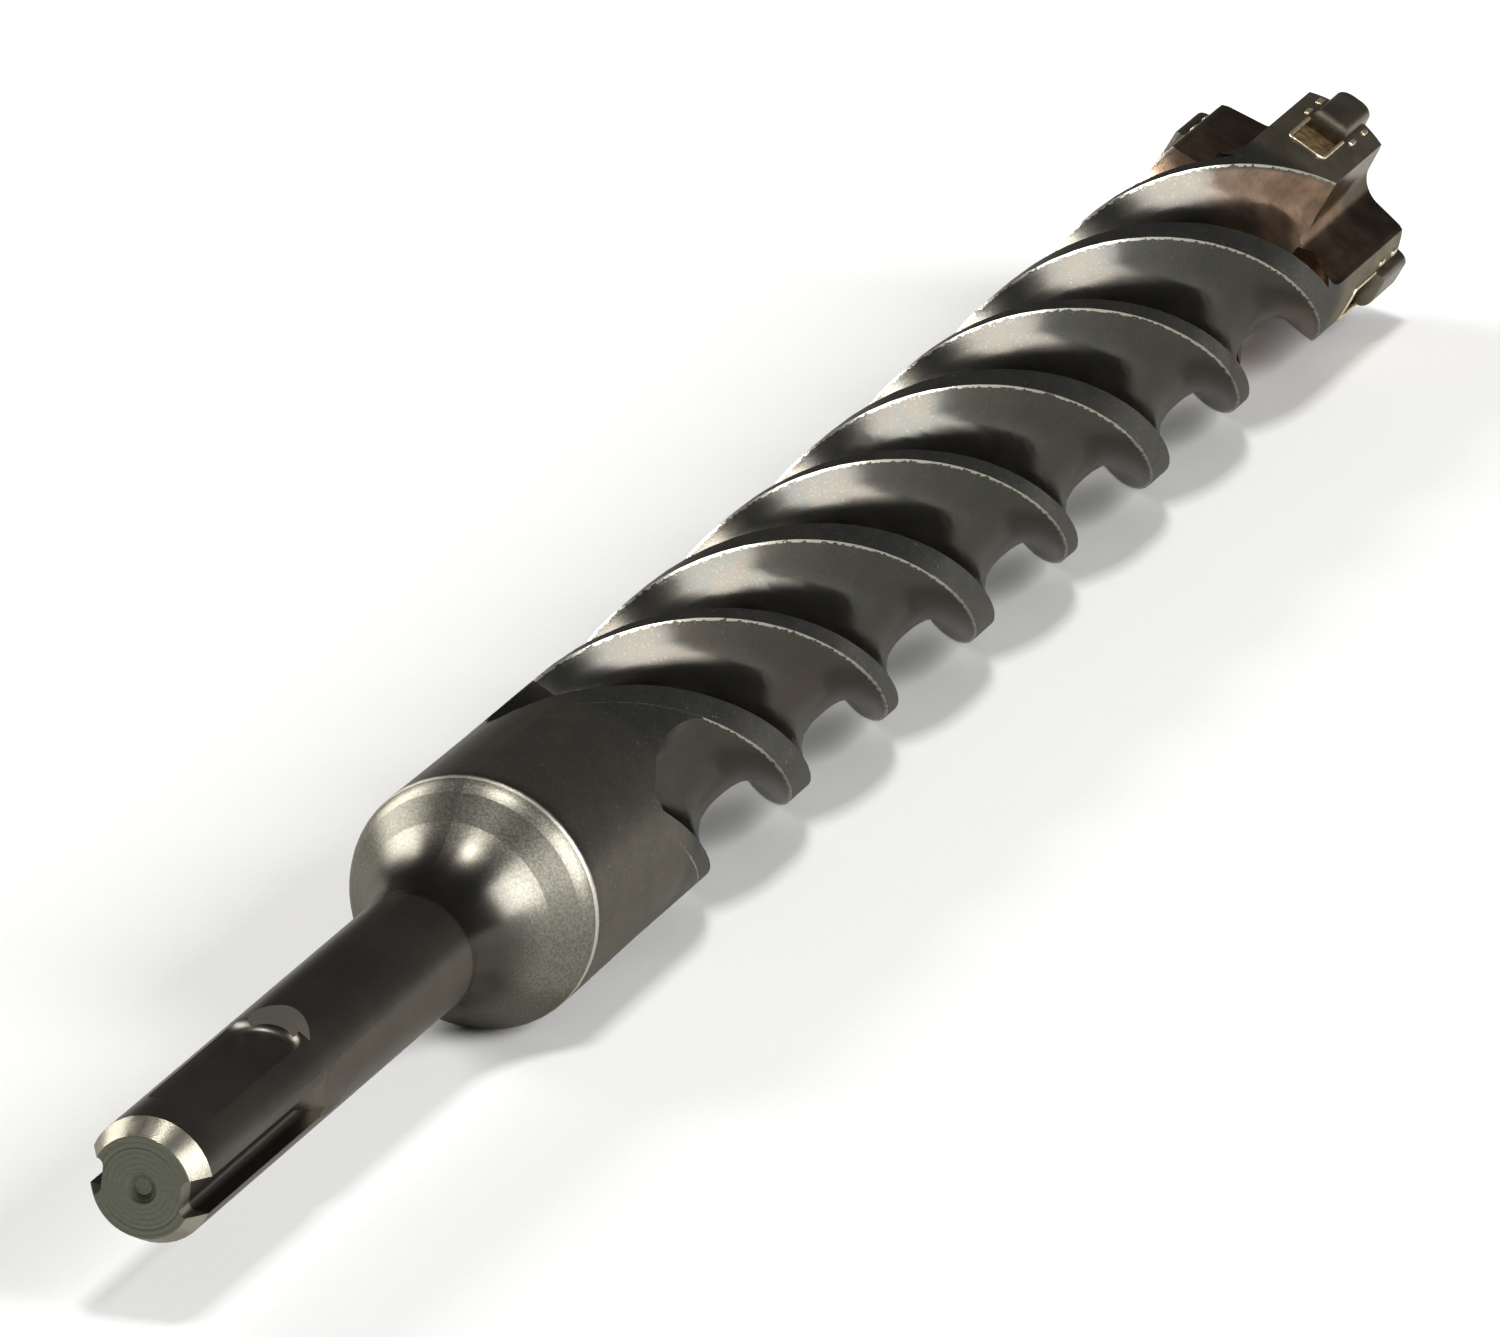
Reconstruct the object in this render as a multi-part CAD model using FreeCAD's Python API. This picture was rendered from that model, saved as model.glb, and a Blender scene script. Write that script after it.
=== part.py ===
import FreeCAD, Part
import math
import os

# Hammer drill bit for a slotted chuck. It lies with its axis along +Y, tip forward,
# and rests on the rim of its collar and on the lobes of its head.
# Origin: centre of the end face of the shank. Lengths in mm, angles in degrees.
# Angles run round the axis from straight up toward +X.

# Whole bit
OVERALL_LENGTH = 250.0
CUT_DIAMETER = 22.0
POINT_ANGLE = 130.0

# Shank
SHANK_R = 5.0
END_FACE_R = 4.0
END_CHAMFER_L = 1.9
DIMPLE_R = 1.25
DIMPLE_DEPTH = 0.45
SHANK_TURN = 8.5

# Open drive slots, one on each side of the shank
SLOT_WIDTH = 3.0
SLOT_FLOOR = 3.15
SLOT_END = 26.3
SLOT_CORNER_R = 0.6
SLOT_RAMP_R = 5.0
SLOT_SCOOP_R = 6.2
SLOT_SCOOP_HEIGHT = 10.4
SLOT_SCOOP_Y = 24.8

# Closed locking grooves, above and below
LOCK_WIDTH = 6.0
LOCK_FLOOR = 3.65
LOCK_START = 5.8
LOCK_END = 24.2
LOCK_CORNER_R = 1.6
LOCK_EDGE_R = 0.9
LOCK_RAMP_END = 26.2
LOCK_RAMP_L = 2.8
LOCK_RAMP_ANGLE = 21.5

# Flare from shank to collar
FLARE_START = 52.0
FLARE_HOLLOW_R = 12.0
FLARE_ANGLE = 40.0
FLARE_CROWN_R = 4.0
RIM_ANGLE = 15.0
RIM_Y = 63.2
RIM_R = 10.3
RIM_BREAK = 0.12
COLLAR_TAPER_END = 78.0
LAND_R = 10.15

# Flutes: four, two deep ones and two shallow ones by turns
LEAD = 80.0
DEEP_CORE_R = 6.2
SHALLOW_CORE_R = 6.6
DEEP_SPAN = 77.6
SHALLOW_SPAN = 74.7
DEEP_EDGE_Y = 130.1
SHALLOW_EDGE_Y = 150.6
EDGE_ANGLE = 47.5
STEEP_FLANK_SPAN = 12.0
SLOPED_FLANK_SPAN = 23.0

# Run-out of each flute in the collar: a scoop, egg-shaped in plan, that deepens into the flute
RUNOUT_Y = 78.9
RUNOUT_ANGLE = 65.5
RUNOUT_HALF_LENGTH = 7.1
RUNOUT_HALF_SPAN = 19.2
RUNOUT_LEAD_IN = 0.6
RUNOUT_L = 14.0
RUNOUT_STEPS = 6
RUNOUT_SPREAD = 1.4
FLUTE_START = 12.0
FLUTE_STEP = 8.0

# Head with four lobes, its places measured back from the tip
HEAD_EDGE_BACK = 6.2
HEAD_CONE_ANGLE = 20.0
HEAD_EDGE_BREAK = 0.45
HEAD_GROOVE_R = 2.2
HEAD_GROOVE_DROP = 0.1
HEAD_GROOVE_ANGLE = 90.0
HEAD_GROOVE_BACK = 21.4
LOBE_BACK = 25.0

# Carbide plates. The main plate lags behind the rear edge of a deep flute by an angle.
INSERT_LAG = 141.05
INSERT_T = 3.4
INSERT_LENGTH = 12.0
INSERT_CORNER_R = 1.2
INSERT_FRONT_R = 0.9
INSERT_SIDE_R = 0.7
INSERT_BEVEL = 30.0
SIDE_INSERT_INNER = 3.6
BRAZE_GAP = 0.05

# Pockets behind the plates, partly filled with braze
POCKET_LENGTH = 5.1
POCKET_CORNER_R = 0.8
POCKET_DEPTH = 1.5
BRAZE_LOW = 0.75
BRAZE_HIGH = 0.2

# Derived sizes
CUT_R = CUT_DIAMETER / 2.0
SLOT_W = INSERT_T + 2.0 * BRAZE_GAP
EDGE_SLOPE = 90.0 - POINT_ANGLE / 2.0
CORNER_Y = OVERALL_LENGTH - CUT_R * math.tan(math.radians(EDGE_SLOPE))
DEG_PER_MM = 360.0 / LEAD
HEAD_EDGE_Y = OVERALL_LENGTH - HEAD_EDGE_BACK
HEAD_GROOVE_REAR = OVERALL_LENGTH - HEAD_GROOVE_BACK
LOBE_REAR = OVERALL_LENGTH - LOBE_BACK
INSERT_REAR = OVERALL_LENGTH - INSERT_LENGTH
INSERT_TURN = (EDGE_ANGLE + (INSERT_REAR - DEEP_EDGE_Y) * DEG_PER_MM - INSERT_LAG) % 360.0
POCKET_REAR = INSERT_REAR - POCKET_LENGTH
OUTSIDE = 14.0
FLUTE_LIFT = 0.35
RUNOUT_INSET = 0.3
RUNOUT_THIN = 0.02
FLUTE_FROM = RUNOUT_Y + FLUTE_START
FLUTE_TO = HEAD_EDGE_Y + 3.0

V = FreeCAD.Vector
AXIS = V(0, 0, 1)
ORIGIN = V(0, 0, 0)


def polar(radius, angle, y=0.0):
    """Point at a radius and an angle round the axis, at a distance y along it."""
    a = math.radians(angle)
    return V(radius * math.cos(a), radius * math.sin(a), y)


def turned(shape, angle):
    """Copy of a shape turned round the axis."""
    copy = shape.copy()
    copy.rotate(ORIGIN, AXIS, angle)
    return copy


def placed(shape):
    """Bring a shape from the working frame, axis along Z, to the part's own frame."""
    copy = shape.copy()
    copy.rotate(ORIGIN, V(1, 1, 1), 240)
    return copy


def prism(points, direction):
    """Straight-sided solid over a closed outline."""
    return Part.Face(Part.makePolygon(points + [points[0]])).extrude(direction)


def box(x0, x1, y0, y1, z0, z1):
    """Box between two corners."""
    return Part.makeBox(x1 - x0, y1 - y0, z1 - z0, V(x0, y0, z0))


def body_of_revolution():
    """Shank, flare, collar and the plain cylinder that the flutes are cut from."""
    hollow = math.radians(FLARE_ANGLE)
    rim = math.radians(RIM_ANGLE)
    crown_r = FLARE_CROWN_R
    hollow_y = FLARE_START + FLARE_HOLLOW_R * math.sin(hollow)
    hollow_top = SHANK_R + FLARE_HOLLOW_R * (1.0 - math.cos(hollow))
    half = math.radians(FLARE_ANGLE / 2.0)
    hollow_mid = V(
        SHANK_R + FLARE_HOLLOW_R * (1.0 - math.cos(half)), 0,
        FLARE_START + FLARE_HOLLOW_R * math.sin(half))
    crown_end = V(RIM_R, 0, RIM_Y)
    crown_start = V(
        RIM_R - crown_r * (math.cos(rim) - math.cos(hollow)), 0,
        RIM_Y - crown_r * (math.sin(hollow) - math.sin(rim)))
    crown_half = (hollow + rim) / 2.0
    crown_mid = V(
        RIM_R - crown_r * (math.cos(rim) - math.cos(crown_half)), 0,
        RIM_Y - crown_r * (math.sin(crown_half) - math.sin(rim)))
    cone_top = V(0, 0, HEAD_EDGE_Y + LAND_R * math.tan(math.radians(HEAD_CONE_ANGLE)))
    lobe_edge = V(LAND_R, 0, HEAD_EDGE_Y - HEAD_EDGE_BREAK)
    lobe_top = V(LAND_R - HEAD_EDGE_BREAK, 0, HEAD_EDGE_Y)
    outline = [
        Part.makeLine(V(0, 0, 0), V(END_FACE_R, 0, 0)),
        Part.makeLine(V(END_FACE_R, 0, 0), V(SHANK_R, 0, END_CHAMFER_L)),
        Part.makeLine(V(SHANK_R, 0, END_CHAMFER_L), V(SHANK_R, 0, FLARE_START)),
        Part.Arc(V(SHANK_R, 0, FLARE_START), hollow_mid, V(hollow_top, 0, hollow_y)).toShape(),
        Part.makeLine(V(hollow_top, 0, hollow_y), crown_start),
        Part.Arc(crown_start, crown_mid, crown_end).toShape(),
        Part.makeLine(crown_end, V(RIM_R, 0, RIM_Y + RIM_BREAK)),
        Part.makeLine(V(RIM_R, 0, RIM_Y + RIM_BREAK), V(LAND_R, 0, COLLAR_TAPER_END)),
        Part.makeLine(V(LAND_R, 0, COLLAR_TAPER_END), lobe_edge),
        Part.makeLine(lobe_edge, lobe_top),
        Part.makeLine(lobe_top, cone_top),
        Part.makeLine(cone_top, V(0, 0, 0)),
    ]
    solid = Part.Face(Part.Wire(outline)).revolve(ORIGIN, AXIS, 360)
    dimple = Part.makeCone(DIMPLE_R, 0.55 * DIMPLE_R, DIMPLE_DEPTH)
    return solid.cut(dimple)


def drive_slot():
    """Open slot with a flat floor, square walls and a ramp that runs out at its front end."""
    half = SLOT_WIDTH / 2.0
    slot = box(SLOT_FLOOR, OUTSIDE, -half, half, -1.0, SLOT_END)
    floor = [e for e in slot.Edges if abs(e.CenterOfMass.x - SLOT_FLOOR) < 0.01]
    inner = [e for e in floor if abs(abs(e.CenterOfMass.y) - half) < 0.01]
    slot = slot.makeFillet(SLOT_CORNER_R, inner)
    r = SLOT_RAMP_R
    ramp = Part.makeCylinder(r, SLOT_WIDTH + 2.0, V(SLOT_FLOOR + r, -half - 1.0, SLOT_END - r), V(0, 1, 0))
    corner = box(SLOT_FLOOR - 1.0, SLOT_FLOOR + r, -half - 1.0, half + 1.0, SLOT_END - r, SLOT_END + 1.0)
    scoop = Part.makeSphere(SLOT_SCOOP_R, V(SLOT_SCOOP_HEIGHT, 0, SLOT_SCOOP_Y))
    return slot.cut(corner.cut(ramp)).fuse(scoop)


def lock_groove():
    """Closed groove: a trough with a rounded front end and a ramp that leads out of it."""
    half = LOCK_WIDTH / 2.0
    trough = box(LOCK_FLOOR, OUTSIDE, -half, half, LOCK_START, LOCK_END)
    middle = (LOCK_FLOOR + OUTSIDE) / 2.0
    upright = [e for e in trough.Edges if abs(e.CenterOfMass.x - middle) < 0.01]
    front = [e for e in upright if e.CenterOfMass.z > LOCK_END - 0.5]
    trough = trough.makeFillet(half - 0.05, front)
    upright = [e for e in trough.Edges if abs(e.CenterOfMass.x - middle) < 0.01]
    rear = [e for e in upright if e.CenterOfMass.z < LOCK_START + 0.5]
    trough = trough.makeFillet(LOCK_CORNER_R, rear)
    floor = [e for e in trough.Edges if abs(e.BoundBox.XMax - LOCK_FLOOR) < 0.01]
    trough = trough.makeFillet(LOCK_EDGE_R, floor)
    run = LOCK_RAMP_L
    rise = run * math.tan(math.radians(LOCK_RAMP_ANGLE))
    ramp = prism([
        V(SHANK_R - rise, -half, LOCK_RAMP_END - run),
        V(SHANK_R + rise, -half, LOCK_RAMP_END + run),
        V(OUTSIDE, -half, LOCK_RAMP_END + run),
        V(OUTSIDE, -half, LOCK_RAMP_END - run),
    ], V(0, LOCK_WIDTH, 0))
    return trough.fuse(ramp)


def flute_section(core_r, left, right, span, y, share):
    """Closed section of a flute between two angles: steep flank, floor, sloped flank.

    A share of the full depth below 1 makes it shallower, for the run-out.
    """
    scale = (right - left) / span
    steep = STEEP_FLANK_SPAN * scale
    slope = SLOPED_FLANK_SPAN * scale
    depth = (LAND_R - core_r) * share
    points = [
        polar(LAND_R + FLUTE_LIFT, left - 0.9, y),
        polar(LAND_R - 0.45 * depth, left + 0.34 * steep, y),
        polar(LAND_R - 0.86 * depth, left + 0.95 * steep, y),
        polar(LAND_R - depth, (left + steep + right - slope) / 2.0, y),
        polar(LAND_R - 0.90 * depth, right - slope, y),
        polar(LAND_R - 0.45 * depth, right - 0.42 * slope, y),
        polar(LAND_R + FLUTE_LIFT, right + 1.0, y),
    ]
    curve = Part.BSplineCurve()
    curve.interpolate(points)
    near = polar(OUTSIDE, left - 0.9, y)
    far = polar(OUTSIDE, right + 1.0, y)
    top = polar(OUTSIDE, (left + right) / 2.0, y)
    return Part.Wire([
        curve.toShape(),
        Part.makeLine(points[-1], far),
        Part.Arc(far, top, near).toShape(),
        Part.makeLine(near, points[0]),
    ])


def land_edge(edge_y, turn, y):
    """Angle of a land's rear edge at a distance y along the bit."""
    return EDGE_ANGLE + (y - edge_y) * DEG_PER_MM + turn


def flute(core_r, span, edge_y, turn):
    """Twisted cutter of one flute, from the run-out to the head."""
    steps = math.ceil((FLUTE_TO - FLUTE_FROM) / FLUTE_STEP)
    wires = []
    for i in range(steps + 1):
        y = FLUTE_FROM + (FLUTE_TO - FLUTE_FROM) * i / steps
        left = land_edge(edge_y, turn, y)
        wires.append(flute_section(core_r, left, left + span, span, y, 1.0))
    return Part.makeLoft(wires, True, False)


def runout(core_r, span, edge_y, turn):
    """Rear end of a flute: its sections widen and deepen from nothing to the full flute."""
    quarter = round((land_edge(edge_y, turn, RUNOUT_Y) + span - RUNOUT_ANGLE) / 90.0)
    middle = RUNOUT_ANGLE + 90.0 * quarter
    wires = []
    for i in range(RUNOUT_STEPS + 1):
        run = RUNOUT_L + RUNOUT_LEAD_IN
        along = run * (i / float(RUNOUT_STEPS)) ** RUNOUT_SPREAD - RUNOUT_LEAD_IN
        y = RUNOUT_Y + along
        off = along / RUNOUT_HALF_LENGTH - 1.0
        width = math.sqrt(max(0.05, 1.0 - off * off))
        share = math.sqrt(max(RUNOUT_THIN ** 2, 1.0 - min(off, 0.0) ** 2))
        edge = land_edge(edge_y, turn, y)
        left = max(middle - RUNOUT_HALF_SPAN * width, edge + RUNOUT_INSET)
        right = edge + span - RUNOUT_INSET
        wires.append(flute_section(core_r + 0.02, left, right, span, y, share))
    return Part.makeLoft(wires, True, False)


def groove_half(core_r):
    """Half the section of a head groove: rounded bottom and a straight wall."""
    r = HEAD_GROOVE_R
    wall = math.radians(HEAD_GROOVE_ANGLE / 2.0)
    turn = math.pi / 2.0 - wall
    foot = V(core_r + r * (1.0 - math.cos(turn)), r * math.sin(turn), 0)
    middle = V(core_r + r * (1.0 - math.cos(turn / 2.0)), r * math.sin(turn / 2.0), 0)
    bottom = V(core_r, 0, 0)
    top = V(OUTSIDE, foot.y + (OUTSIDE - foot.x) * math.tan(wall), 0)
    return Part.Face(Part.Wire([
        Part.Arc(bottom, middle, foot).toShape(),
        Part.makeLine(foot, top),
        Part.makeLine(top, V(OUTSIDE, 0, 0)),
        Part.makeLine(V(OUTSIDE, 0, 0), bottom),
    ]))


def head_groove(core_r, angle):
    """Straight groove between two lobes, with a cone-shaped rear end."""
    half = groove_half(core_r)
    end = half.revolve(ORIGIN, V(1, 0, 0), 360)
    along = V(0, 0, OVERALL_LENGTH + 1.0 - HEAD_GROOVE_REAR)
    bar = half.extrude(along).fuse(half.mirror(ORIGIN, V(0, 1, 0)).extrude(along))
    groove = bar.removeSplitter().fuse(end)
    groove.translate(V(0, 0, HEAD_GROOVE_REAR))
    return turned(groove, angle)


def lobe_guard(angle):
    """Space of the lobe beside a head groove, which the flute in front of it leaves whole."""
    reach = 2.0 * OUTSIDE
    top = OVERALL_LENGTH + 2.0
    corners = [V(0, 0, LOBE_REAR)]
    for step in (0.0, 45.0, 90.0, 135.0):
        corners.append(polar(reach, step, LOBE_REAR))
    return turned(prism(corners, V(0, 0, top - LOBE_REAR)), angle)


def plate_outline(inner):
    """Side view of half a plate, from a distance inner off the axis to the cutting radius."""
    slope = math.radians(EDGE_SLOPE)
    r = INSERT_CORNER_R
    s = r * (1.0 - math.sqrt(0.5))
    f = INSERT_FRONT_R
    centre_y = CORNER_Y - f * math.tan((math.pi / 2.0 - slope) / 2.0)
    centre = V(CUT_R - f, 0, centre_y)
    lean = (math.pi / 2.0 - slope) / 2.0
    on_edge = centre + V(f * math.sin(slope), 0, f * math.cos(slope))
    on_bend = centre + V(f * math.cos(lean), 0, f * math.sin(lean))
    on_side = centre + V(f, 0, 0)
    tip = V(inner, 0, OVERALL_LENGTH - inner * math.tan(slope))
    rear = INSERT_REAR
    return Part.Wire([
        Part.makeLine(V(inner, 0, rear), V(CUT_R - r, 0, rear)),
        Part.Arc(V(CUT_R - r, 0, rear), V(CUT_R - s, 0, rear + s), V(CUT_R, 0, rear + r)).toShape(),
        Part.makeLine(V(CUT_R, 0, rear + r), on_side),
        Part.Arc(on_side, on_bend, on_edge).toShape(),
        Part.makeLine(on_edge, tip),
        Part.makeLine(tip, V(inner, 0, rear)),
    ])


def rounded_strip(inner):
    """Plan of an arm with rounded outer corners, as high as the head."""
    half = INSERT_T / 2.0
    r = INSERT_SIDE_R
    s = r * (1.0 - math.sqrt(0.5))
    a = CUT_R
    b = a - r
    plan = Part.Wire([
        Part.makeLine(V(inner, -half, 0), V(b, -half, 0)),
        Part.Arc(V(b, -half, 0), V(a - s, -half + s, 0), V(a, -half + r, 0)).toShape(),
        Part.makeLine(V(a, -half + r, 0), V(a, half - r, 0)),
        Part.Arc(V(a, half - r, 0), V(a - s, half - s, 0), V(b, half, 0)).toShape(),
        Part.makeLine(V(b, half, 0), V(inner, half, 0)),
        Part.makeLine(V(inner, half, 0), V(inner, -half, 0)),
    ])
    plan.translate(V(0, 0, INSERT_REAR - 1.0))
    return Part.Face(plan).extrude(V(0, 0, OVERALL_LENGTH - INSERT_REAR + 2.0))


def half_plate(inner):
    """One cutting arm with a roof-shaped edge."""
    half = INSERT_T / 2.0
    face = Part.Face(plate_outline(inner))
    face.translate(V(0, -half - 0.5, 0))
    arm = face.extrude(V(0, INSERT_T + 1.0, 0)).common(rounded_strip(inner))
    far = CUT_R + 2.0
    wide = 2.0 * half
    fall = wide * math.tan(math.radians(INSERT_BEVEL))
    along = V(far, 0, -far * math.tan(math.radians(EDGE_SLOPE)))
    top = OVERALL_LENGTH
    for side in (-1.0, 1.0):
        shaving = prism([
            V(0, 0, top),
            V(0, side * wide, top - fall),
            V(0, side * wide, top + 4.0),
            V(0, 0, top + 4.0),
        ], along)
        arm = arm.cut(shaving)
    return arm


def main_plate():
    """Full-width plate with the centre point."""
    arm = half_plate(0.0)
    return arm.fuse(turned(arm, 180)).removeSplitter()


def plate_seat(inner, rear):
    """Slot for an arm, open to the front and outward."""
    half = SLOT_W / 2.0
    return box(inner, OUTSIDE, -half, half, rear, OVERALL_LENGTH + 1.0)


def rear_block(top):
    """Block as wide as a plate seat, with rounded rear corners, up to a height top."""
    half = SLOT_W / 2.0
    block = box(LAND_R - POCKET_DEPTH, top, -half, half, POCKET_REAR, INSERT_REAR)
    middle = (LAND_R - POCKET_DEPTH + top) / 2.0
    upright = [e for e in block.Edges if abs(e.CenterOfMass.x - middle) < 0.01]
    rear = [e for e in upright if e.CenterOfMass.z < POCKET_REAR + 0.5]
    return block.makeFillet(POCKET_CORNER_R, rear)


def pocket():
    """Recess behind a plate."""
    return rear_block(OUTSIDE)


def braze_fill():
    """Braze in a pocket, lower beside the plate."""
    half = SLOT_W / 2.0
    high = LAND_R - BRAZE_HIGH
    above = prism([
        V(high, -half, POCKET_REAR),
        V(LAND_R - BRAZE_LOW, -half, INSERT_REAR),
        V(OUTSIDE, -half, INSERT_REAR),
        V(OUTSIDE, -half, POCKET_REAR),
    ], V(0, SLOT_W, 0))
    return rear_block(LAND_R).cut(above)


def largest(shape):
    """The one solid of a cut shape."""
    return max(shape.Solids, key=lambda s: s.Volume)


def steel_body():
    """The forged and fluted steel body in one piece."""
    body = body_of_revolution()
    for side in (90.0, 270.0):
        body = body.cut(turned(drive_slot(), SHANK_TURN + side))
    for side in (0.0, 180.0):
        body = body.cut(turned(lock_groove(), SHANK_TURN + side))
    for quarter in range(4):
        angle = INSERT_TURN + 90.0 * quarter
        inner = -1.0 if quarter % 2 == 0 else SIDE_INSERT_INNER
        body = body.cut(turned(plate_seat(inner, INSERT_REAR), angle))
        body = body.cut(turned(pocket(), angle))
        core_r = SHALLOW_CORE_R if quarter % 2 == 0 else DEEP_CORE_R
        body = body.cut(head_groove(core_r - HEAD_GROOVE_DROP, angle + 45.0))
    groove_angle = INSERT_TURN + 45.0
    kinds = [
        (DEEP_CORE_R, DEEP_SPAN, DEEP_EDGE_Y),
        (SHALLOW_CORE_R, SHALLOW_SPAN, SHALLOW_EDGE_Y),
    ]
    for core_r, span, edge_y in kinds:
        for turn in (0.0, 180.0):
            body = body.cut(runout(core_r, span, edge_y, turn))
            front = land_edge(edge_y, turn, LOBE_REAR) + span
            quarter = round((front - groove_angle - 20.0) / 90.0)
            cutter = flute(core_r, span, edge_y, turn)
            cutter = largest(cutter.cut(lobe_guard(groove_angle + 90.0 * quarter)))
            body = body.cut(cutter)
    return body


os.makedirs("parts", exist_ok=True)

nodes = {
    "steel_body": largest(steel_body()),
    "main_carbide_plate": largest(turned(main_plate(), INSERT_TURN)),
    "side_carbide_plate_a": largest(turned(half_plate(SIDE_INSERT_INNER), INSERT_TURN + 90.0)),
    "side_carbide_plate_b": largest(turned(half_plate(SIDE_INSERT_INNER), INSERT_TURN + 270.0)),
    "braze_fill_a": largest(turned(braze_fill(), INSERT_TURN)),
    "braze_fill_b": largest(turned(braze_fill(), INSERT_TURN + 90.0)),
    "braze_fill_c": largest(turned(braze_fill(), INSERT_TURN + 180.0)),
    "braze_fill_d": largest(turned(braze_fill(), INSERT_TURN + 270.0)),
}

for name, shape in nodes.items():
    part = placed(shape)
    part.exportStep(os.path.join("parts", name + ".step"))
    print(name, part.isValid(), round(part.Volume, 1), len(part.Faces))
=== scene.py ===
import math
import random

import bmesh
import bpy
from mathutils import Matrix, Vector


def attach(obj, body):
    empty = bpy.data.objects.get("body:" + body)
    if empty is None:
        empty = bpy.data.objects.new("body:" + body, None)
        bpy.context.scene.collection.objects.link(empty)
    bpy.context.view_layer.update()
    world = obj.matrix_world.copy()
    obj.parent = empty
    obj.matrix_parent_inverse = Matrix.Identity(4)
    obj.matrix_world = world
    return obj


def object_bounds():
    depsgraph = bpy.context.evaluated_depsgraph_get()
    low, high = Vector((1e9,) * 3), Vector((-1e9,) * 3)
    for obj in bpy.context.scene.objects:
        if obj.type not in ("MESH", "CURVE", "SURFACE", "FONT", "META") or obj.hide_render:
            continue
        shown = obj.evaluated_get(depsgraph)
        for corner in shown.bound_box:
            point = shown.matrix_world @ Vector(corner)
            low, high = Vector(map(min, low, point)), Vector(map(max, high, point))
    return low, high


# Hammer drill bit, lying on a pale floor. Axis along +Y with the tip forward, +Z up.
# Sizes are in millimetres unless a name says otherwise, and angles in degrees, counted round
# the axis from straight up toward +X.
MM = 0.001

# Places along the bit
CHAMFER_START = 0.06
CHAMFER_END = 1.9
DIMPLE_FLOOR = 0.5
SHANK_END = 51.0
FLARE_START = 52.0
RIM_Y = 63.2
COLLAR_END = 78.0
RUNOUT_START = 82.0
TINT_START = 222.0
TINT_LENGTH = 11.0
TINT_UNEVEN = 9.0
TINT_FADE_START = 236.0
TINT_FADE_LENGTH = 4.0
HEAD_START = 227.0
HEAD_BLEND = 4.0
LINES_END = 236.0
ARM_REAR = 238.0

# Radii
SHANK_R = 5.0
DIMPLE_R = 1.4
END_RING_R = 3.2
RIM_R = 10.3
LAND_R = 10.15

# Helix of the lands: right-hand, with the rear edge of one wide and one narrow land
LEAD = 80.0
EDGE_ANGLE = 47.5
WIDE_EDGE_Y = 130.1
NARROW_EDGE_Y = 150.6
EDGE_LINE = 0.07

# Arms of the head and the braze marks beside each
ARM_TURN = 32.0
MARK_ROWS_Y = (239.3, 242.2)
MARK_ANGLE = 13.0
MARK_LENGTH = 1.35
MARK_WIDTH = 0.55
MARK_HEIGHT = 0.16
MARK_SINK = 0.02
MARK_SQUARENESS = 0.45
MARK_UNEVEN = 0.05

# Pocket behind each arm
POCKET_REAR = 232.9
POCKET_HALF = 1.75
POCKET_CORNER_R = 0.8
SEAM_R = 0.17
SEAM_STEPS = 7

# Camera
SENSOR_MM = 36.0
LENS_MM = 432.0
CAMERA_AT = (516.3, -1121.2, 473.1)
CAMERA_AIM = (9.06, 98.01, 8.08)
CAMERA_ROLL = -2.02

# Lamps, in metres and watts, all aimed at the middle of the bit
LAMP_AIM = (0.0, 125.0, 0.0)
LAMP_DISTANCE_M = 1.3
SURROUND = 0.12
FLOOR_SIZE_M = 8.0

# Surface patterns, each from its real size
GRIT = 0.20
SCALE_FILM = 2.6
CLOUDS = 9.0
TURNING_PITCH = 0.16
RING_PITCH = 0.42
NICK = 0.55
PITS = 0.35
SCUFF = 0.8
LUMPS = 0.7
FIBRE = 0.8

# How far each pattern stands out of its surface
GRIT_HEIGHT = 0.009
FLUTE_GRIT_HEIGHT = 0.0036
FILM_HEIGHT = 0.0018
TURNING_HEIGHT = 0.0072
RING_HEIGHT = 0.0072
END_RING_DEPTH = 0.0288
PIT_HEIGHT = 0.072
CARBIDE_GRIT_HEIGHT = 0.02
LUMP_HEIGHT = 0.06
FIBRE_HEIGHT = 0.005

# Halves of the range of a pattern over which one tone turns into the other
SHARP = 0.15
GRADUAL = 0.2

# Darker and lighter tone of each surface
FLUTE_TONES = ("#464642", "#4c4842")
LAND_TONES = ("#4a4b49", "#555450")
SHANK_TONES = ("#58554f", "#625e57")
FLARE_TONES = ("#68665d", "#7c7a70")
COLLAR_TONES = ("#5d5b54", "#66625a")
COPPER_TONES = ("#6e5a4b", "#957c68")
STRAW_TONES = ("#6d665a", "#837a6a")
CARBIDE_TONES = ("#544f45", "#6b6355")
POCKET_BRAZE_TONES = ("#87704e", "#c2a67a")
BRIGHT_BRAZE_TONES = ("#bfb291", "#e2d8bc")
PAPER_TONES = ("#ebebea", "#efefee")

# Single tones of the steel
CHAMFER_TONE = "#979386"
RIM_TONE = "#b9b6aa"
EDGE_TONE = "#a5a296"
END_FACE_TONE = "#707164"
SPECK_TONE = "#8c877c"
SCUFF_TONE = "#a09b8e"
GRAZING_TONE = "#c9c7c3"


def linear(code):
    """Scene-linear colour of an sRGB hex value."""
    parts = [int(code[i:i + 2], 16) / 255.0 for i in (1, 3, 5)]
    values = [c / 12.92 if c <= 0.04045 else ((c + 0.055) / 1.055) ** 2.4 for c in parts]
    return tuple(values) + (1.0,)


def add(tree, kind, links=None, **settings):
    """Node of a kind, with its settings, and values or links for its input sockets."""
    node = tree.nodes.new(kind)
    for name, value in settings.items():
        setattr(node, name, value)
    for key, value in (links or {}).items():
        socket = node.inputs[key]
        if isinstance(value, bpy.types.NodeSocket):
            tree.links.new(value, socket)
        else:
            socket.default_value = value
    return node


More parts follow.
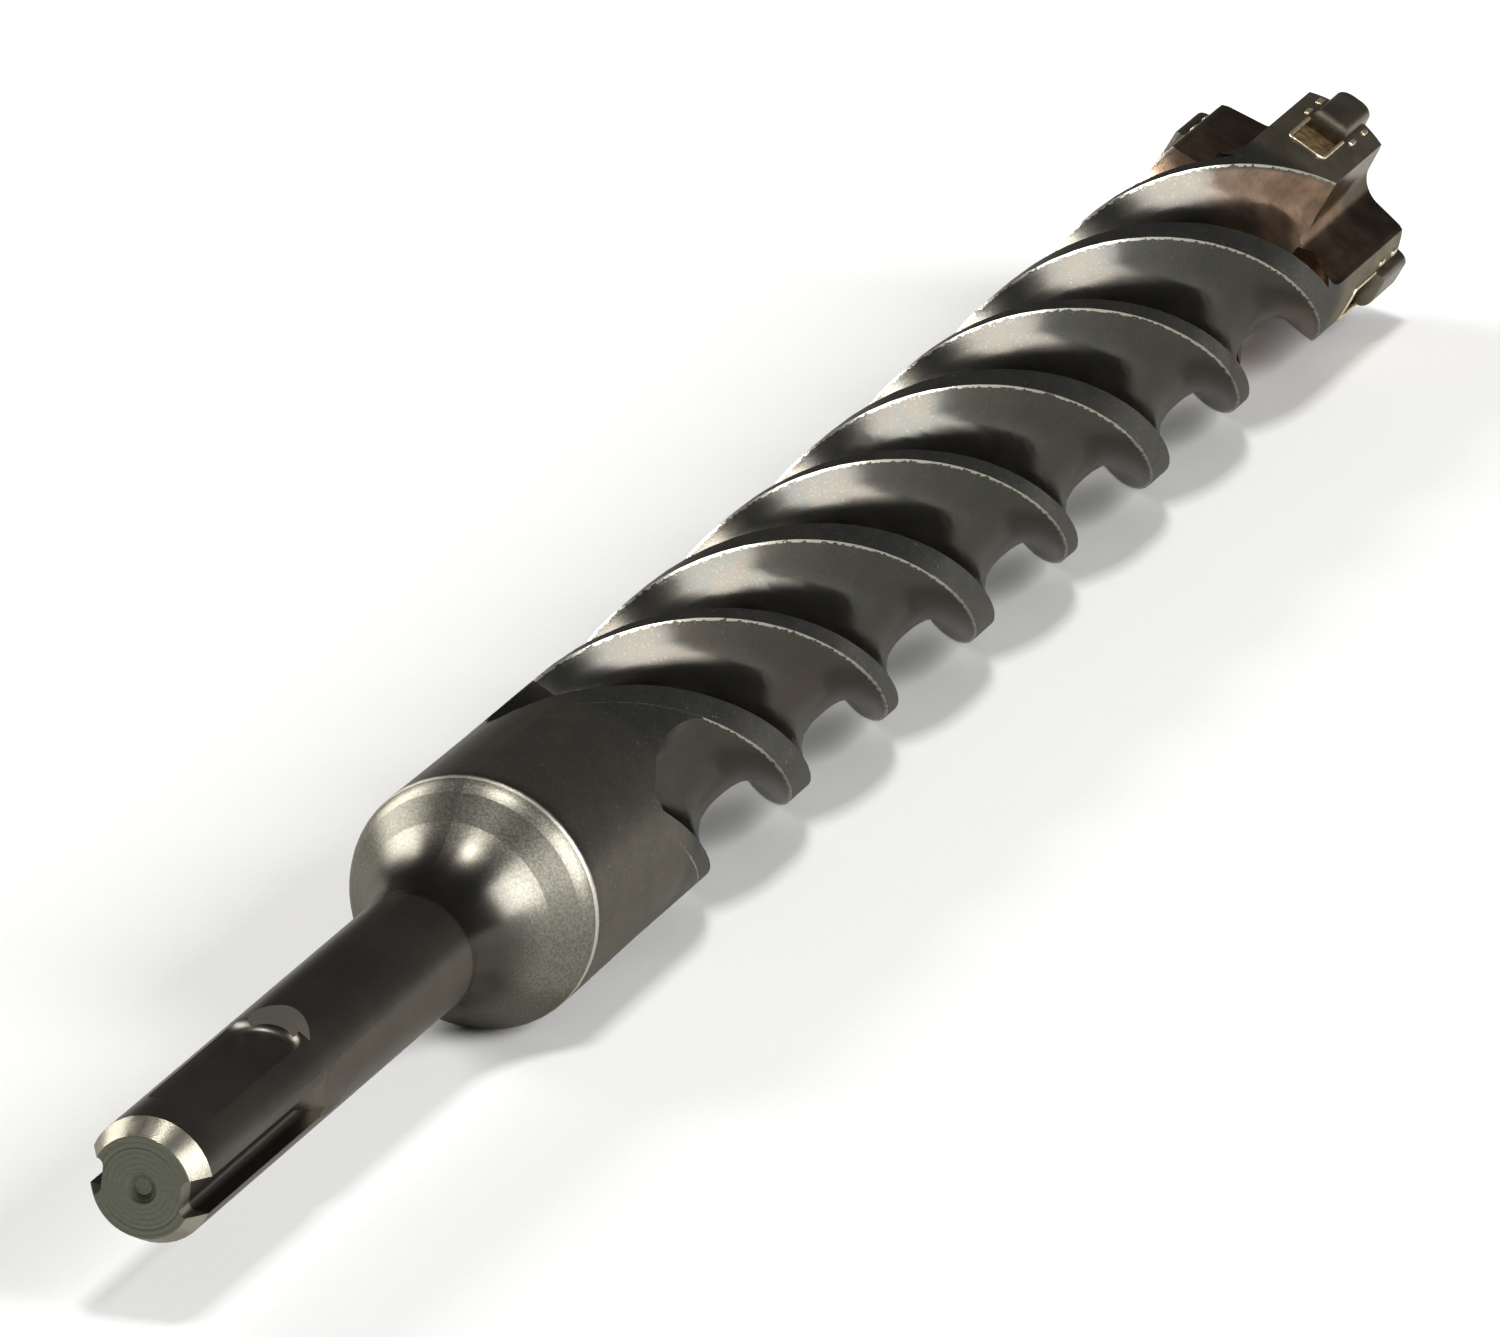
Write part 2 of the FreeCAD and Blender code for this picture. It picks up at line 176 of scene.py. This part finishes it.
def math_of(tree, operation, *values):
    """Result of a calculation on one to three values."""
    node = add(tree, "ShaderNodeMath", dict(enumerate(values)), operation=operation)
    return node.outputs[0]


def times(tree, first, second):
    """Product of two values, also of two masks."""
    return math_of(tree, "MULTIPLY", first, second)


def wave(tree, distance, pitch):
    """Ripple between -1 and 1 that repeats at a pitch."""
    return math_of(tree, "SINE", times(tree, distance, 2.0 * math.pi / pitch))


def ramp_between(tree, value, low, high, at_low=0.0, at_high=1.0):
    """Smooth change of a value from at_low to at_high, between low and high."""
    node = add(tree, "ShaderNodeMapRange", {
        "Value": value, "From Min": low, "From Max": high, "To Min": at_low, "To Max": at_high,
    }, interpolation_type="SMOOTHSTEP")
    return node.outputs["Result"]


def above(tree, value, limit, blend):
    """Mask that rises from 0 to 1 over a blend that starts at the limit."""
    return ramp_between(tree, value, limit, limit + blend)


def below(tree, value, limit, blend):
    """Mask that falls from 1 to 0 over a blend that starts at the limit."""
    return ramp_between(tree, value, limit, limit + blend, 1.0, 0.0)


def inside(tree, value, low, high, soft):
    """Mask that is 1 between low and high, with soft edges."""
    rise = above(tree, value, low - soft, 2.0 * soft)
    fall = below(tree, value, high - soft, 2.0 * soft)
    return times(tree, rise, fall)


def blended(tree, share, first, second):
    """Colour between two colours."""
    node = add(tree, "ShaderNodeMix", {
        "Factor": share, 6: first, 7: second,
    }, data_type="RGBA")
    return node.outputs[2]


def mixed(tree, share, first, second):
    """Number between two numbers."""
    node = add(tree, "ShaderNodeMix", {"Factor": share, 2: first, 3: second}, data_type="FLOAT")
    return node.outputs[0]


def two_tone(tree, pattern, half_range, tones):
    """Colour that goes from the darker to the lighter of two tones with a pattern."""
    share = ramp_between(tree, pattern, 0.5 - half_range, 0.5 + half_range)
    return blended(tree, share, linear(tones[0]), linear(tones[1]))


def layered(tree, join, base, layers):
    """Base with layers over it, each a mask and what it shows there."""
    for mask, value in layers:
        base = join(tree, mask, base, value)
    return base


def grain(tree, where, size, detail=3.0, rough=0.55):
    """Cloudy pattern from 0 to 1, with spots of about the size given."""
    node = add(tree, "ShaderNodeTexNoise", {
        "Vector": where, "Scale": 1.0 / size, "Detail": detail, "Roughness": rough,
    })
    return node.outputs["Fac"]


def new_material(name):
    """Empty node material with its shader, and the place on the object in millimetres."""
    material = bpy.data.materials.new(name)
    material.use_nodes = True
    tree = material.node_tree
    tree.nodes.clear()
    output = add(tree, "ShaderNodeOutputMaterial")
    shader = add(tree, "ShaderNodeBsdfPrincipled")
    tree.links.new(shader.outputs[0], output.inputs[0])
    place = add(tree, "ShaderNodeTexCoord")
    where = add(tree, "ShaderNodeVectorMath", {
        0: place.outputs["Object"], "Scale": 1.0 / MM,
    }, operation="SCALE").outputs[0]
    return material, tree, shader, where


def finish_shader(tree, shader, colour, roughness, pattern, height, metallic=1.0):
    """Connect colour and roughness, and the relief of a pattern with its height."""
    bump = add(tree, "ShaderNodeBump", {
        "Height": pattern, "Distance": height * MM, "Strength": 1.0,
    })
    tree.links.new(colour, shader.inputs["Base Color"])
    tree.links.new(roughness, shader.inputs["Roughness"])
    tree.links.new(bump.outputs[0], shader.inputs["Normal"])
    shader.inputs["Metallic"].default_value = metallic


def polar_place(tree, where):
    """Distance along the axis, radius and angle round the axis."""
    x, y, z = add(tree, "ShaderNodeSeparateXYZ", {0: where}).outputs
    squares = math_of(tree, "ADD", times(tree, x, x), times(tree, z, z))
    radius = math_of(tree, "SQRT", squares)
    angle = math_of(tree, "DEGREES", math_of(tree, "ARCTAN2", x, z))
    return y, radius, angle


def worn_edge(tree, where, y, angle, edge_y):
    """Mask of the thin worn line on the rear edge of two opposite lands, broken by nicks."""
    turn = math_of(tree, "SUBTRACT", angle, EDGE_ANGLE)
    along = times(tree, math_of(tree, "SUBTRACT", y, edge_y), 360.0 / LEAD)
    gap = math_of(tree, "PINGPONG", math_of(tree, "SUBTRACT", turn, along), 90.0)
    reach = mixed(tree, grain(tree, where, NICK, 2.0), -1.4, 3.4)
    wide = times(tree, reach, math.degrees(EDGE_LINE / LAND_R))
    return math_of(tree, "LESS_THAN", gap, wide)


def worn_edges(tree, where, y, radius, angle):
    """Worn lines on the edges of all the lands, from the run-outs to the head."""
    lines = math_of(tree, "MAXIMUM", worn_edge(tree, where, y, angle, WIDE_EDGE_Y),
                    worn_edge(tree, where, y, angle, NARROW_EDGE_Y))
    lines = times(tree, lines, above(tree, radius, LAND_R - 0.28, 0.08))
    return times(tree, lines, inside(tree, y, RUNOUT_START, LINES_END, 2.0))


def steel_areas(tree, y, radius, clouds):
    """Masks of the areas of the steel body, along it and across its section."""
    rear_face = below(tree, y, 0.02, 0.06)
    dimple = times(tree, below(tree, y, DIMPLE_FLOOR, 0.1), below(tree, radius, DIMPLE_R, 0.1))
    head = above(tree, y, HEAD_START, HEAD_BLEND)
    in_flute = below(tree, radius, LAND_R - 0.6, 0.4)
    uneven_y = math_of(tree, "ADD", y, times(tree, clouds, TINT_UNEVEN))
    fade_end = TINT_FADE_START + TINT_FADE_LENGTH
    hot = times(tree, above(tree, uneven_y, TINT_START, TINT_LENGTH),
                ramp_between(tree, y, TINT_FADE_START, fade_end, 1.0, 0.4))
    return {
        "end_face": math_of(tree, "MAXIMUM", rear_face, dimple),
        "chamfer": inside(tree, y, CHAMFER_START, CHAMFER_END, 0.05),
        "shank": inside(tree, y, CHAMFER_END, SHANK_END, 0.3),
        "flare": times(tree, inside(tree, y, FLARE_START, RIM_Y, 0.04),
                       above(tree, radius, SHANK_R + 0.3, 2.7)),
        "rim": times(tree, inside(tree, y, RIM_Y - 0.28, RIM_Y + 0.22, 0.05),
                     above(tree, radius, RIM_R - 0.25, 0.15)),
        "collar": inside(tree, y, RIM_Y + 0.2, RUNOUT_START, 1.5),
        "land": times(tree, above(tree, radius, LAND_R - 0.12, 0.08),
                      ramp_between(tree, y, RIM_Y, COLLAR_END)),
        "in_flute": in_flute,
        "copper": times(tree, hot, in_flute),
        "straw": times(tree, head, math_of(tree, "SUBTRACT", 1.0, in_flute)),
    }


def steel_relief(tree, where, area, y, radius, fine, film):
    """Height in millimetres: grit and film everywhere, turning marks at the rear end."""
    grit = times(tree, fine, mixed(tree, area["in_flute"], GRIT_HEIGHT, FLUTE_GRIT_HEIGHT))
    turned = times(tree, area["chamfer"], wave(tree, y, TURNING_PITCH))
    ring = inside(tree, radius, END_RING_R - 0.1, END_RING_R + 0.1, 0.06)
    rings = times(tree, wave(tree, radius, RING_PITCH), RING_HEIGHT)
    end_marks = math_of(tree, "SUBTRACT", rings, times(tree, ring, END_RING_DEPTH))
    pits = times(tree, area["end_face"], grain(tree, where, PITS, 3.0, 0.7))
    height = math_of(tree, "ADD", grit, times(tree, film, FILM_HEIGHT))
    height = math_of(tree, "ADD", height, times(tree, turned, TURNING_HEIGHT))
    height = math_of(tree, "ADD", height, times(tree, area["end_face"], end_marks))
    return math_of(tree, "ADD", height, times(tree, pits, PIT_HEIGHT))


def hardened_steel():
    """Hardened alloy steel, milled, oiled and blackened by heat: dark, with a soft sheen.

    The flare is blasted bright, the end is turned, and the head is tinted by the brazing heat.
    """
    material, tree, shader, where = new_material("hardened_steel")
    y, radius, angle = polar_place(tree, where)
    fine = grain(tree, where, GRIT, 2.0)
    film = grain(tree, where, SCALE_FILM, 5.0, 0.62)
    clouds = grain(tree, where, CLOUDS, 3.0)
    area = steel_areas(tree, y, radius, clouds)
    edges = worn_edges(tree, where, y, radius, angle)

    specks = times(tree, ramp_between(tree, fine, 0.60, 0.68, 0.0, 0.45),
                   mixed(tree, area["in_flute"], 1.0, 0.25))
    scuffs = ramp_between(tree, grain(tree, where, SCUFF, 4.0, 0.7), 0.66, 0.70, 0.0, 0.6)
    outside = math_of(tree, "MAXIMUM", area["land"], area["collar"])

    colour = layered(tree, blended, two_tone(tree, film, SHARP, FLUTE_TONES), [
        (area["land"], two_tone(tree, film, GRADUAL, LAND_TONES)),
        (area["shank"], two_tone(tree, clouds, SHARP, SHANK_TONES)),
        (area["flare"], two_tone(tree, fine, SHARP, FLARE_TONES)),
        (area["collar"], two_tone(tree, film, GRADUAL, COLLAR_TONES)),
        (area["copper"], two_tone(tree, film, GRADUAL, COPPER_TONES)),
        (area["straw"], two_tone(tree, film, GRADUAL, STRAW_TONES)),
        (area["chamfer"], linear(CHAMFER_TONE)),
        (area["rim"], linear(RIM_TONE)),
        (edges, linear(EDGE_TONE)),
        (area["end_face"], linear(END_FACE_TONE)),
        (specks, linear(SPECK_TONE)),
        (times(tree, scuffs, outside), linear(SCUFF_TONE)),
    ])
    rough = layered(tree, mixed, mixed(tree, film, 0.22, 0.29), [
        (area["land"], 0.42),
        (area["shank"], 0.34),
        (area["flare"], mixed(tree, fine, 0.31, 0.41)),
        (area["collar"], 0.40),
        (area["chamfer"], 0.30),
        (area["end_face"], 0.62),
        (edges, 0.25),
    ])
    relief = steel_relief(tree, where, area, y, radius, fine, film)
    finish_shader(tree, shader, colour, rough, relief, 1.0)
    shader.inputs["Specular Tint"].default_value = linear(GRAZING_TONE)
    return material


def sintered_carbide():
    """Sintered tungsten carbide, ground: a grey-brown metal with fine grit and a dull sheen."""
    material, tree, shader, where = new_material("sintered_carbide")
    fine = grain(tree, where, GRIT, 3.0)
    patch = grain(tree, where, SCALE_FILM, 4.0)
    colour = two_tone(tree, patch, GRADUAL, CARBIDE_TONES)
    rough = mixed(tree, fine, 0.34, 0.5)
    finish_shader(tree, shader, colour, rough, fine, CARBIDE_GRIT_HEIGHT)
    return material


def silver_braze(name, tones, roughness):
    """Silver brazing alloy, run and set in place: pale brass, lumpy on a small scale."""
    material, tree, shader, where = new_material(name)
    lumps = grain(tree, where, LUMPS, 3.0)
    fine = grain(tree, where, GRIT, 2.0)
    colour = two_tone(tree, lumps, GRADUAL, tones)
    rough = mixed(tree, fine, roughness - 0.06, roughness + 0.06)
    finish_shader(tree, shader, colour, rough, lumps, LUMP_HEIGHT)
    return material


def paper_floor():
    """Matt white paper."""
    material, tree, shader, where = new_material("white_paper")
    fibre = grain(tree, where, FIBRE, 2.0)
    colour = blended(tree, fibre, linear(PAPER_TONES[0]), linear(PAPER_TONES[1]))
    rough = mixed(tree, fibre, 0.85, 0.95)
    finish_shader(tree, shader, colour, rough, fibre, FIBRE_HEIGHT, metallic=0.0)
    return material


def around(radius, angle, y):
    """Point at a radius and an angle round the axis, at a distance y along it, in metres."""
    a = math.radians(angle)
    return Vector((radius * math.sin(a), y, radius * math.cos(a))) * MM


def place_in_scene(name, data):
    """Object with its data, linked to the scene."""
    piece = bpy.data.objects.new(name, data)
    bpy.context.scene.collection.objects.link(piece)
    return piece


def add_dab(form, angle, y, seed):
    """Small flattened bead of braze on the side of the head."""
    chance = random.Random(seed)
    size = Vector((
        MARK_WIDTH * chance.uniform(0.85, 1.15),
        MARK_LENGTH * chance.uniform(0.8, 1.1),
        2.0 * MARK_HEIGHT,
    )) * MM * 0.5
    turn = Matrix.Rotation(math.radians(angle), 4, "Y")
    place = Matrix.Translation(around(LAND_R - MARK_SINK, angle, y))
    shape = place @ turn @ Matrix.Diagonal(size).to_4x4()
    made = bmesh.ops.create_icosphere(form, subdivisions=3, radius=1.0)
    for vertex in made["verts"]:
        corner = vertex.co
        square = max(abs(corner.x), abs(corner.y), abs(corner.z))
        corner = corner.lerp(corner / square, MARK_SQUARENESS)
        wobble = 1.0 + MARK_UNEVEN * chance.uniform(-1.0, 1.0)
        vertex.co = shape @ (corner * wobble)


def braze_marks(material):
    """Beads of braze in two rows on both sides of each arm."""
    form = bmesh.new()
    seed = 0
    for quarter in range(4):
        for side in (-1.0, 1.0):
            for y in MARK_ROWS_Y:
                seed += 1
                angle = ARM_TURN + 90.0 * quarter + side * MARK_ANGLE
                add_dab(form, angle, y, seed)
    mesh = bpy.data.meshes.new("braze_marks")
    form.to_mesh(mesh)
    form.free()
    mesh.shade_smooth()
    mesh.materials.append(material)
    piece = place_in_scene("braze_marks", mesh)
    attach(piece, "root")


def seam_path(quarter):
    """Line round the mouth of a pocket, from one side of the arm to the other."""
    middle = ARM_TURN + 90.0 * quarter
    half = POCKET_HALF
    r = POCKET_CORNER_R
    flat = [(-half, ARM_REAR)]
    for corner, start in ((-1.0, 180.0), (1.0, 270.0)):
        for step in range(SEAM_STEPS):
            a = math.radians(start + 90.0 * step / (SEAM_STEPS - 1.0))
            across = corner * (half - r) + r * math.cos(a)
            flat.append((across, POCKET_REAR + r + r * math.sin(a)))
    flat.append((half, ARM_REAR))
    points = []
    for across, y in flat:
        height = math.sqrt(LAND_R ** 2 - across ** 2)
        spot = Vector((across, y, height)) * MM
        points.append(Matrix.Rotation(math.radians(middle), 3, "Y") @ spot)
    return points


def pocket_seams(material):
    """Thin bead of braze that stands along the mouth of each pocket."""
    curve = bpy.data.curves.new("pocket_seams", "CURVE")
    curve.dimensions = "3D"
    curve.bevel_depth = SEAM_R * MM
    curve.bevel_resolution = 2
    curve.use_fill_caps = True
    for quarter in range(4):
        points = seam_path(quarter)
        spline = curve.splines.new("POLY")
        spline.points.add(len(points) - 1)
        for target, point in zip(spline.points, points):
            target.co = tuple(point) + (1.0,)
    curve.materials.append(material)
    piece = place_in_scene("pocket_seams", curve)
    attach(piece, "root")


def dress(node_name, material):
    """Give a node of the frame its material."""
    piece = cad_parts[node_name]
    piece.data.materials.clear()
    piece.data.materials.append(material)


def softbox(name, angle, elevation, size, power, colour):
    """Square lamp aimed at the middle of the bit."""
    lamp = bpy.data.lights.new(name, "AREA")
    lamp.shape = "RECTANGLE"
    lamp.size = size[0]
    lamp.size_y = size[1]
    lamp.energy = power
    lamp.color = linear(colour)[:3]
    holder = place_in_scene(name, lamp)
    a = math.radians(angle)
    e = math.radians(elevation)
    away = Vector((math.cos(e) * math.sin(a), math.cos(e) * math.cos(a), math.sin(e)))
    holder.location = Vector(LAMP_AIM) * MM + away * LAMP_DISTANCE_M
    holder.rotation_euler = (-away).to_track_quat("-Z", "Y").to_euler()


def lights():
    """Large soft lamps on both sides, a small one above, and a dim surround."""
    softbox("right_softbox", 92.0, 24.0, (0.75, 0.90), 22.0, "#ffffff")
    softbox("left_softbox", -78.0, 28.0, (0.50, 0.70), 12.0, "#fffefc")
    softbox("top_softbox", 102.0, 85.0, (0.26, 0.26), 8.0, "#fffefc")
    world = bpy.data.worlds.new("surround")
    world.use_nodes = True
    bpy.context.scene.world = world
    tree = world.node_tree
    tree.nodes.clear()
    output = add(tree, "ShaderNodeOutputWorld")
    sky = add(tree, "ShaderNodeBackground", {"Color": linear("#ffffff"), "Strength": SURROUND})
    tree.links.new(sky.outputs[0], output.inputs[0])


def camera():
    """Camera behind the shank end, looking down along the bit."""
    data = bpy.data.cameras.new("camera")
    data.sensor_width = SENSOR_MM
    data.lens = LENS_MM
    data.clip_start = 0.05
    data.clip_end = 50.0
    holder = place_in_scene("camera", data)
    at = Vector(CAMERA_AT) * MM
    aim = Vector(CAMERA_AIM) * MM
    level = (aim - at).to_track_quat("-Z", "Y").to_matrix().to_4x4()
    roll = Matrix.Rotation(math.radians(CAMERA_ROLL), 4, "Z")
    holder.matrix_world = Matrix.Translation(at) @ level @ roll
    bpy.context.scene.camera = holder


def floor(height):
    """Wide flat floor under the bit."""
    bpy.ops.mesh.primitive_plane_add(size=FLOOR_SIZE_M, location=(0.0, 0.0, height))
    plane = bpy.context.object
    plane.name = "floor"
    plane.data.materials.append(paper_floor())


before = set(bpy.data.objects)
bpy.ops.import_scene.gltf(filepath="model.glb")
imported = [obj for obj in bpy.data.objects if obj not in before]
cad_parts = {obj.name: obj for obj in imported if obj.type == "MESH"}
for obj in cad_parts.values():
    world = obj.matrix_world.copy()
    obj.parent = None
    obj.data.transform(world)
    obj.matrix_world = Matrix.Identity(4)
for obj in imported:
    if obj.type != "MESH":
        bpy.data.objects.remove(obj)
cad_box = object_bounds()

steel = hardened_steel()
carbide = sintered_carbide()
pocket_braze = silver_braze("pocket_braze", POCKET_BRAZE_TONES, 0.46)
bright_braze = silver_braze("bright_braze", BRIGHT_BRAZE_TONES, 0.38)

for node_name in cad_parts:
    if node_name == "steel_body":
        dress(node_name, steel)
    elif "carbide" in node_name:
        dress(node_name, carbide)
    else:
        dress(node_name, pocket_braze)

braze_marks(bright_braze)
pocket_seams(bright_braze)

floor(cad_box[0].z)
lights()
camera()
bpy.context.scene.view_settings.view_transform = "Standard"
